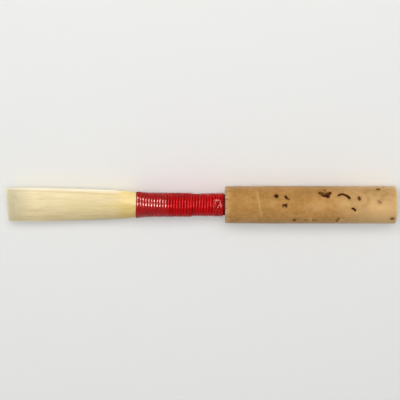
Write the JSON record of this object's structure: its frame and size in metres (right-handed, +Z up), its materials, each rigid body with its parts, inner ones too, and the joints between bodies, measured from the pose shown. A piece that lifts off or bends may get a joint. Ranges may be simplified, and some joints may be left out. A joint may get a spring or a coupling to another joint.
{
  "type": "oboe reed",
  "caption": "Double reed: two tapered cane blades bound with red thread to a conical metal staple with a cork sleeve, for plugging into an oboe's reed well.",
  "frame": {"origin": "under the middle of the reed, on the surface that its cork lies on", "axes": "+X along the reed, from the blades' tip towards the cork end; +Y across the flat of the blades; +Z up, square to the flat of the blades"},
  "size_m": [0.0706, 0.0072, 0.0069],
  "materials": {
    "cane": "scraped, dry",
    "thread": "waxed nylon",
    "cork": "sanded natural cork",
    "staple_metal": "plated, bright"
  },
  "bodies": {
    "root": {"staple_tube": "staple_metal", "cork_sleeve": "cork", "cane_blade_upper": "cane", "cane_blade_lower": "cane", "thread_first_layer": "thread", "thread_winding": "thread", "thread_knot": "thread"}
  },
  "joints": []
}
